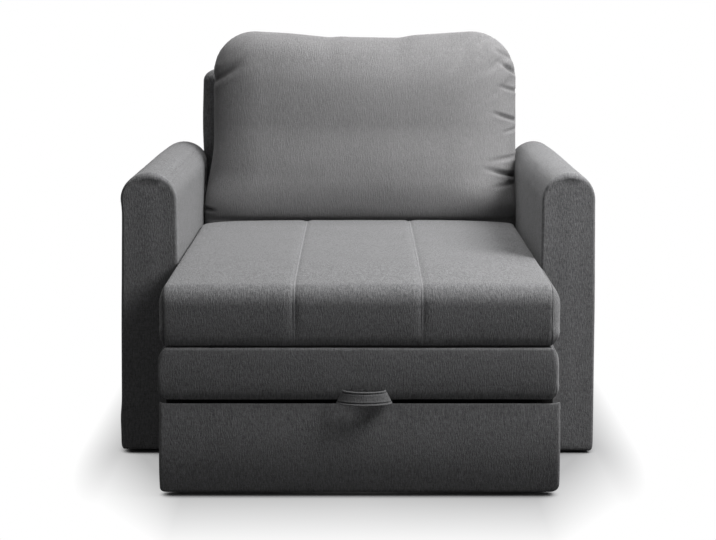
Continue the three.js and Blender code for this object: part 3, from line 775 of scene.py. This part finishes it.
def pillow():
    low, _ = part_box("back_cushion_cover")
    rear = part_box("back_cover")[0].y
    floor = low.z + pillow_lift
    tall, middle = (pillow_top - floor) / 2, (pillow_top + floor) / 2

    def outline(inset):
        upper = tuple(inner_radius(corner, inset) for corner in pillow_corners)
        lower = (inner_radius(pillow_foot, inset),) * 2
        flat = loop(tall - inset, inset - pillow_left, pillow_right - inset, upper, lower, pillow_counts)
        return lying(flat, middle)

    piece = loft("loose_cushion", outline, pillow_stations(), 1, cushion_fabric, pillow_counts)
    points = points_of(piece)
    centre = (pillow_right - pillow_left) / 2
    across = np.abs(points[:, 0] - centre) / (pillow_left + centre)
    up = np.abs(points[:, 2] - middle) / tall
    dome = pillow_dome * (1 - across**2.4) * (1 - up**2.6)
    brow = pillow_brow * bell(pillow_top - points[:, 2] - brow_place[0], brow_place[1])
    points[:, 1] += np.clip(points[:, 1] / pillow_roll[1], -1, 1) * (dome + brow)
    set_points(piece, points)
    swell_pillow(piece)
    points = points_of(piece)
    up = (points[:, 2] - middle) / tall
    points[:, 2] -= soft_table(pillow_crest, points[:, 0], crest_soft) * ramp(0.35, 1, up)
    foot = ramp(middle + 0.1 * tall, low.z + 130 * mm, points[:, 2])
    flare = np.where(points[:, 0] < 0, *pillow_flare) * foot
    points[:, 0] += flare * np.clip(points[:, 0] / pillow_left, -1, 1)
    plane = rear - pillow_depth + pillow_lean * up
    points[:, 1] += plane
    set_points(piece, points)
    rest_on_seat(piece, plane)
    crease_pillow(piece)
    points = points_of(piece)
    points[:, 1] = np.minimum(points[:, 1], rear - mm)
    points[:, 2] = np.maximum(points[:, 2], low.z)
    set_points(piece, points)
    dress(piece, "back_cushion", ["back_cushion_cover", "back_cushion_filling"])


def depth_by_height(depth, heights, chosen, least):
    """The greatest depth among the chosen points at about each height."""
    step = 12 * mm
    levels = np.arange(0.3, 0.9, step)
    near = np.digitize(heights[chosen], levels)
    filled = [i for i in range(len(levels)) if (near == i + 1).any()]
    deepest = [depth[chosen][near == i + 1].max() for i in filled]
    return np.maximum(np.interp(heights, levels[filled] + step / 2, deepest), least)


def rest_on_seat(piece, plane):
    """Keeps the cushion behind the upper section, with a bulge over its rear edge that curves under."""
    seat_rear, seat_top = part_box("upper_section_cover")[1].yz
    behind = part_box("back_cushion_cover")[0].y + mm
    belly = seat_rear - pillow_overhang
    points = points_of(piece)
    depth = plane - points[:, 1]
    middle = (pillow_right - pillow_left) / 2
    central = (np.abs(points[:, 0] - middle) < 60 * mm) & (depth > 0)
    full = depth_by_height(depth, points[:, 2], central, 20 * mm)
    height = points[:, 2] - seat_top - pillow_gap
    turn = np.clip(1 - height / pillow_curl, 0, 1)
    curve = np.where(height > 0, belly + (behind - belly) * (1 - np.sqrt(1 - turn**2)), behind)
    fullness = pillow_fullness[0] + pillow_fullness[1] * ramp(0.1, 0.3, points[:, 0])
    share = np.clip(depth / full, 0, 1) ** (1 - fullness * ramp(120 * mm, 20 * mm, height))
    bulged = plane - (plane - curve) * share
    pulled = ramp(230 * mm, 60 * mm, height) * (depth > 0)
    points[:, 1] += (bulged - points[:, 1]) * pulled
    points[:, 1] = np.maximum(points[:, 1], np.where(height < 40 * mm, curve, -1))
    set_points(piece, points)


def crease_pillow(piece):
    """Gathers where the seam pulls the cloth in, each a groove between two soft ridges, with painted shade
    in the deepest part.
    """
    points = points_of(piece)
    facing = np.clip(0.35 - normals_of(piece)[:, 1], 0, 1)
    sunk = np.zeros(len(points))
    for x, z, end_x, end_z, depth, width in np.array(pillow_creases) * mm:
        run = np.array([end_x - x, end_z - z])
        off = points[:, [0, 2]] - (x, z)
        along = off @ run / (run @ run)
        far = np.linalg.norm(off - np.clip(along, -0.3, 1)[:, None] * run, axis=1) / width
        fade = 1 - ramp(0.25, 1, along)
        sunk += depth * fade * (1 - 0.9 * far**2) * np.exp(-(far**2))
    # painted shade in the deepest part of each crease
    paint(piece, "seam", (sunk * facing - crease_shade[0]) / crease_shade[1])
    push(piece, -sunk * facing)


def remesh(piece, size):
    """Rebuilds a closed mesh from even faces."""
    change = piece.modifiers.new("even", "REMESH")
    change.mode = "VOXEL"
    change.voxel_size = size
    keep_modifiers(piece)


def keep_modifiers(piece):
    """Applies what the modifiers make to the piece's own mesh."""
    bpy.context.view_layer.update()
    graph = bpy.context.evaluated_depsgraph_get()
    made = bpy.data.meshes.new_from_object(piece.evaluated_get(graph))
    piece.modifiers.clear()
    piece.data = made
    piece.data.shade_smooth()


def weigh(piece, name, weights):
    group = piece.vertex_groups.new(name=name)
    for index in np.nonzero(weights > 0.01)[0]:
        group.add([int(index)], float(weights[index]), "REPLACE")


def swell_pillow(piece):
    """Fills it like cloth under pressure: its outline is sewn, with spare cloth along its right seam."""
    remesh(piece, even_face)
    start = points_of(piece)
    from_right = pillow_right - start[:, 0]
    weigh(piece, "spare", ramp(*spare_width, from_right) * (start[:, 0] > 0))
    weigh(piece, "sewn", 1 - ramp(0.2, 0.5, np.abs(normals_of(piece)[:, 1])))
    swell(piece, fill_pressure, fill_reach, fill_frames)
    change = piece.modifiers.new("finer", "SUBSURF")
    change.levels = change.render_levels = 1
    keep_modifiers(piece)


def swell(piece, pressure, reach, frames):
    """Cloth under pressure, less and less toward the left. No point moves further than reach."""
    start = points_of(piece)
    fill = piece.modifiers.new("fill", "CLOTH")
    stiffness = {f"{way}_stiffness": value for way, value in cloth_stiffness.items()}
    for key, value in (cloth | stiffness | cloth_groups | cloth_shrink).items():
        setattr(fill.settings, key, value)
    fill.settings.uniform_pressure_force = pressure
    fill.settings.effector_weights.gravity = 0
    fill.point_cache.frame_start = 1
    fill.point_cache.frame_end = frames
    for step in range(1, frames + 1):
        bpy.context.scene.frame_set(step)
    keep_modifiers(piece)
    bpy.context.scene.frame_set(1)
    move = points_of(piece) - start
    length = np.linalg.norm(move, axis=1)
    scale = np.minimum(1, reach / np.maximum(length, tiny * mm)) * ramp(-0.25, 0.2, start[:, 0])
    set_points(piece, start + move * scale[:, None])


# Front of the roll-out box

front_counts = {"low": 10, "low_arc": 5, "side": 96, "high_arc": 5, "high": 10}
front_grid = (8 * mm, 6)
front_core = 80 * mm  # inset of its faces' innermost ring
front_edge = 6 * mm
front_ring = (9, 7.5 * mm)  # an extra station by the edge: its number and inset
front_top = 4 * mm  # radius of its upper corners
front_feet = (10 * mm, 16 * mm)  # radii of its lower corners
front_spread = (5.5 * mm, 2.5 * mm)  # how far its sides stand out, at the foot and at the top
front_spread_width = 60 * mm
front_fall = 10.5 * mm  # from the sewn top edge down to the top behind it
front_bow = (8 * mm, 13 * mm)  # how far its face curves back, at the top and at the foot
front_bow_depth = (34 * mm, 8 * mm)  # behind the face, where the cloth starts and fully follows it
front_lift = 1 * mm  # of the sewn top edge
front_foot_drop = 3 * mm
front_ripple = (0.12, 0.7 * mm)  # size and height
side_ripple = (0.07, 0.8 * mm)
side_ripple_width = 8 * mm
corner_ear = (9 * mm, 2 * mm, 3.5 * mm)  # width, and how far it stands outward and up
# Where the strap pulls: below the top edge, width and depth
pull_shift = -20 * mm  # from the strap's middle
pull_dent = (21 * mm, 11 * mm, 3.6 * mm)
pull_dent_stretch = 1.6  # times as wide as high
pull_folds = (13 * mm, 5 * mm, 0.9 * mm)
pull_fold_slope = 0.35
pull_fold_reach = 34 * mm


def pulled_cloth(points, top):
    """How far the strap draws the face in: a dent, and a fold that runs down to it from each side."""
    strap_low, strap_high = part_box("strap_handle")
    off = points[:, 0] - (strap_low.x + strap_high.x) / 2 - pull_shift
    below = points[:, 2] - top
    place, width, depth = pull_dent
    dent = bell(np.hypot(off / pull_dent_stretch, below + place), width) * depth
    place, width, depth = pull_folds
    folds = bell(below + place - pull_fold_slope * np.abs(off), width) * bell(off, pull_fold_reach) * depth
    return dent + folds


def box_front():
    low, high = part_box("box_front_cover")
    half = (high.x - low.x) / 2
    tall, middle = (high.z - low.z) / 2, (high.z + low.z) / 2

    def outline(inset):
        upper = (inner_radius(front_top, inset),) * 2
        lower = tuple(inner_radius(foot, inset) for foot in front_feet)
        return lying(loop(tall - inset, inset - half, half - inset, upper, lower, front_counts), middle)

    stations = slab_stations(low.y, high.y, front_edge, front_core, front_grid)
    stations.insert(front_ring[0], (low.y, front_ring[1]))
    piece = loft("box_front_upholstery", outline, stations, 1, chair_fabric, front_counts)
    points = points_of(piece)
    x, y, z = points.T.copy()
    up = (z - middle) / tall
    behind = y - low.y
    face = ramp(6 * mm, 0, behind)
    inward = pulled_cloth(points, high.z) + front_ripple[1] + waves(points, *front_ripple, 21)
    bow = np.where(up > 0, *front_bow) * np.clip(up, -1, 1) ** 2
    points[:, 1] += face * inward + ramp(*front_bow_depth, behind) * bow
    ear_width, ear_out, ear_up = corner_ear
    corner = bell(np.hypot(np.abs(x) - half, z - high.z), ear_width)
    spread = between(front_spread, (up + 1) / 2) * ramp(half - front_spread_width, half, np.abs(x))
    points[:, 0] += np.sign(x) * (corner * ear_out + spread)
    at_side = ramp(half - side_ripple_width, half, np.abs(x))
    points[:, 0] += np.sign(x) * at_side * waves(points, *side_ripple, 23)
    lift = face * (corner * ear_up + front_lift * ramp(0.3, 0.95, up))
    points[:, 2] += lift - front_fall * ramp(0.85, 0.93, up) * ramp(1 * mm, 6 * mm, behind)
    points[:, 2] -= front_foot_drop * ramp(-0.6, -1, up)
    set_points(piece, points)
    dress(piece, "roll_out_box", ["box_front_cover"])


# Pull strap

strap_height = 26 * mm
strap_foot = 195 * mm
strap_half = 54.5 * mm
strap_shift = -3 * mm
strap_taper = 0.24  # share by which its upper edge is shorter
strap_reach_taper = 0.22  # and by which it stands out less
strap_sag = 0.6 * mm
strap_thickness = 2.4 * mm
strap_lines = {"hem": (1.3 * mm, 1.5 * mm), "stitch": (3.9 * mm, 0.9 * mm), "ply": (6.6 * mm, 1.6 * mm)}
strap_puff = {"hem": 0.4, "stitch": -0.5, "ply": 0.15}  # of its thickness, beside its half


def pull_strap():
    low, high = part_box("strap_handle")
    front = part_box("box_front_cover")[0].y
    middle = (low.x + high.x) / 2 + strap_shift
    reach = front - low.y - strap_thickness
    u, v = np.meshgrid(np.linspace(-1, 1, 49), np.linspace(0, 1, 33), indexing="ij")
    bow = np.sqrt(np.maximum(1 - u**2, 0))
    x = middle + u * strap_half * (1 - strap_taper * v)
    y = front - reach * bow * (1 - strap_reach_taper * v) - 0.3 * mm
    z = strap_foot + strap_height * v - strap_sag * bow
    rim = np.minimum(v, 1 - v) * strap_height
    line = {name: bell(rim - place, width) for name, (place, width) in strap_lines.items()}
    puff = (0.5 + sum(line[name] * share for name, share in strap_puff.items())) * strap_thickness
    outer = np.stack([x, y - puff, z], 2)
    inner = np.stack([x, y + 0.5 * strap_thickness, z], 2)
    rows, columns = u.shape
    points = np.concatenate([outer.reshape(-1, 3), inner.reshape(-1, 3)])
    faces = []
    shift = rows * columns
    for i in range(rows - 1):
        for j in range(columns - 1):
            a = i * columns + j
            quad = (a, a + 1, a + columns + 1, a + columns)
            faces += [quad, tuple(shift + k for k in reversed(quad))]
    rim_line = [i * columns for i in range(rows)] + list(range((rows - 1) * columns + 1, rows * columns))
    rim_line += [i * columns + columns - 1 for i in range(rows - 2, -1, -1)]
    rim_line += list(range(columns - 2, 0, -1))
    for here, after in zip(rim_line, rim_line[1:] + rim_line[:1]):
        faces.append((here, after, shift + after, shift + here))
    piece = mesh_object("pull_strap", points, faces, strap_fabric)
    inner_side = np.zeros(shift)
    # painted shade in the sunk stitch lines, painted highlight on the raised hems and plies
    paint(piece, "seam", np.concatenate([line["stitch"].ravel(), inner_side]) * 0.8)
    paint(piece, "thread", np.concatenate([(line["hem"] + 0.6 * line["ply"]).ravel(), inner_side]) * 0.25)
    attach(piece, "roll_out_box")
    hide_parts("strap_handle")
    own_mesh(piece)


# Hinge band: a folded strip of cloth between the two sections, its fold at the hinge line

hinge_radius = 0.45 * mm
hinge_half = 0.2 * mm  # of its thickness
hinge_lines = 40


def hinge_cloth():
    low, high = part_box("hinge_band")
    lower_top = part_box("lower_section_cover")[1].z
    upper_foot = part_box("upper_section_cover")[0].z
    fold = low.y
    middle = (lower_top + upper_foot) / 2
    foot = middle - hinge_radius
    angles = np.linspace(-quarter, -3 * quarter, 9)
    lower = [(high.y, foot), (fold, foot), (fold + 3 * mm, foot)]
    centre = fold + hinge_radius
    turn = [(centre + hinge_radius * math.cos(a), middle + hinge_radius * math.sin(a)) for a in angles]
    upper = [(y, 2 * middle - z) for y, z in reversed(lower)]
    profile = np.array(lower + turn + upper)
    step = np.gradient(profile, axis=0)
    step /= np.linalg.norm(step, axis=1)[:, None]
    across = np.stack([-step[:, 1], step[:, 0]], 1) * hinge_half
    section = np.concatenate([profile + across, (profile - across)[::-1]])
    places = np.linspace(low.x, high.x, hinge_lines)
    count = len(section)
    points = np.array([(x, y, z) for x in places for y, z in section])
    faces = ring_faces(len(places), count)
    faces += [tuple(range(count)), tuple(range((len(places) - 1) * count, len(places) * count))]
    piece = mesh_object("hinge_cloth", points, faces, band_and_shade_fabric)
    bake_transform(piece)
    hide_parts("hinge_band")


# Timber, castors and glides keep the model's own meshes


def finish_nodes():
    by_slot = {
        "timber": timber,
        "upholstery": chair_fabric,
        "castor_steel": castor_steel,
        "wheel_plastic": wheel_plastic,
        "glide_plastic": glide_plastic,
    }
    slots = {part["node"]: part["material_slot"] for part in frame["record"]["subparts"]}
    # the platform rails get the near-black fabric as painted shade in the slot above the box front
    shaded_rails = ("platform_front_rail", "platform_left_rail", "platform_right_rail")
    for name, node in frame["nodes"].items():
        if slots[name] in by_slot and not node.hide_render:
            node.data.materials.clear()
            node.data.materials.append(band_and_shade_fabric if name in shaded_rails else by_slot[slots[name]])


# Floor, lights and background

floor_size = 60
floor_colours = (0.04, 0.2)  # as the object and as the camera see it
shade_aside = (0.505, 0.602)  # from the middle, where the floor's shade starts to fade and ends
shade_aside_power = 1.13
shade_behind = (0.45, 0.75)
shade_corner = (0.349, 0.506)  # from the middle, from the box's front to beside it
shade_start = (-0.5, -0.167)  # in front of the box and beside it
shade_end = (-0.79, -0.554)
shade_light = (0.458, 0.312)  # at the left and at the right
shade_right = 0.45
contact = (30 * mm, 0.3, 0.7)  # reach of the shadow at the feet, and its closed and open shares
under = (350 * mm, 0.16, 0.36)  # of the shadow under it


def open_share(n, reach, closed, clear):
    """How open the floor is to what stands near it."""
    share = n.add("ShaderNodeAmbientOcclusion", {"Distance": reach}, samples=16).outputs["AO"]
    return n.spread(share, closed, clear)


def floor():
    bpy.ops.mesh.primitive_plane_add(size=floor_size, location=(0, 0, 0))
    plane = bpy.context.object
    plane.name = "floor"
    n = Nodes("floor")
    path = n.add("ShaderNodeLightPath").outputs
    seen = n.math("MAXIMUM", path["Is Camera Ray"], path["Is Glossy Ray"])
    seen = n.math("MAXIMUM", seen, path["Is Transmission Ray"])
    place = n.add("ShaderNodeTexCoord").outputs["Object"]
    axes = n.add("ShaderNodeSeparateXYZ", {0: place}).outputs
    off_middle = n.math("ABSOLUTE", axes[0])
    aside = n.math("POWER", n.spread(off_middle, *shade_aside), shade_aside_power)
    behind = n.spread(axes[1], *shade_behind)
    beside_box = n.spread(off_middle, *shade_corner)
    in_front = n.spread(axes[1], n.mix(beside_box, *shade_start), n.mix(beside_box, *shade_end))
    squares = [n.math("POWER", share, 2.0) for share in (aside, behind, in_front)]
    distance = n.math("SQRT", n.math("ADD", n.math("ADD", *squares[:2]), squares[2]))
    # Painted shadow around the object: less of the floor's white glow shows near it and where ambient
    # occlusion finds things close, over the real shadows on its diffuse part
    near = n.spread(axes[0], 0.0, shade_right, *shade_light)
    far = n.spread(distance, 0.0, 1.0, near, 1.0)
    far = n.math("MULTIPLY", far, n.math("MULTIPLY", open_share(n, *contact), open_share(n, *under)))
    n.feed(n.shader.inputs["Base Color"], n.tint(seen, *(grey(level) for level in floor_colours)))
    n.shader.inputs["Roughness"].default_value = 1.0
    n.shader.inputs["Specular IOR Level"].default_value = 0.0
    glow = n.add("ShaderNodeEmission", {"Color": (1, 1, 1, 1), "Strength": 1.0})
    mixed = n.add("ShaderNodeMixShader", {0: n.math("MULTIPLY", far, seen)})
    n.tree.links.new(n.shader.outputs[0], mixed.inputs[1])
    n.tree.links.new(glow.outputs[0], mixed.inputs[2])
    n.tree.links.new(mixed.outputs[0], n.tree.nodes["Material Output"].inputs["Surface"])
    plane.data.materials.append(n.material)


def lamp(name, place, target, size, power):
    data = bpy.data.lights.new(name, "AREA")
    data.shape = "RECTANGLE"
    data.size, data.size_y = size
    data.energy = power
    light = bpy.data.objects.new(name, data)
    light.location = place
    light.rotation_euler = (Vector(target) - Vector(place)).to_track_quat("-Z", "Y").to_euler()
    bpy.context.scene.collection.objects.link(light)


lamps = {  # place, what it points at, size, and power in watts
    "overhead": ((0.0, 0.62, 2.4), (0.0, 0.1, 0.4), (1.6, 1.0), 32),
    "right_front": ((1.55, -0.82, 1.9), (0.0, 0.0, 0.4), (1.0, 1.0), 58),
    "right_rear": ((1.5, 0.1, 2.2), (0.0, 0.0, 0.4), (1.0, 1.0), 27),
    "left_front": ((-1.2, -3.0, 1.3), (0.2, 0.0, 0.4), (1.5, 1.5), 2.5),
}
world_light = 0.12  # on the object, where the background is 1


def lights():
    for name, settings in lamps.items():
        lamp(name, *settings)
    world = bpy.data.worlds.new("studio")
    bpy.context.scene.world = world
    world.use_nodes = True
    tree = world.node_tree
    path = tree.nodes.new("ShaderNodeLightPath")
    strength = tree.nodes.new("ShaderNodeMapRange")
    seen = tree.nodes.new("ShaderNodeMath")
    seen.operation = "MAXIMUM"
    for socket, ray in zip(seen.inputs, ("Is Camera Ray", "Is Glossy Ray")):
        tree.links.new(path.outputs[ray], socket)
    tree.links.new(seen.outputs[0], strength.inputs["Value"])
    strength.inputs["To Min"].default_value = world_light
    strength.inputs["To Max"].default_value = 1.0
    tree.nodes["Background"].inputs["Color"].default_value = (1, 1, 1, 1)
    tree.links.new(strength.outputs[0], tree.nodes["Background"].inputs["Strength"])
    bpy.context.scene.view_settings.view_transform = "Standard"


make_camera()
for arm_side in (-1, 1):
    arm(arm_side)
back_panel()
seat()
pillow()
box_front()
pull_strap()
hinge_cloth()
finish_nodes()
floor()
lights()
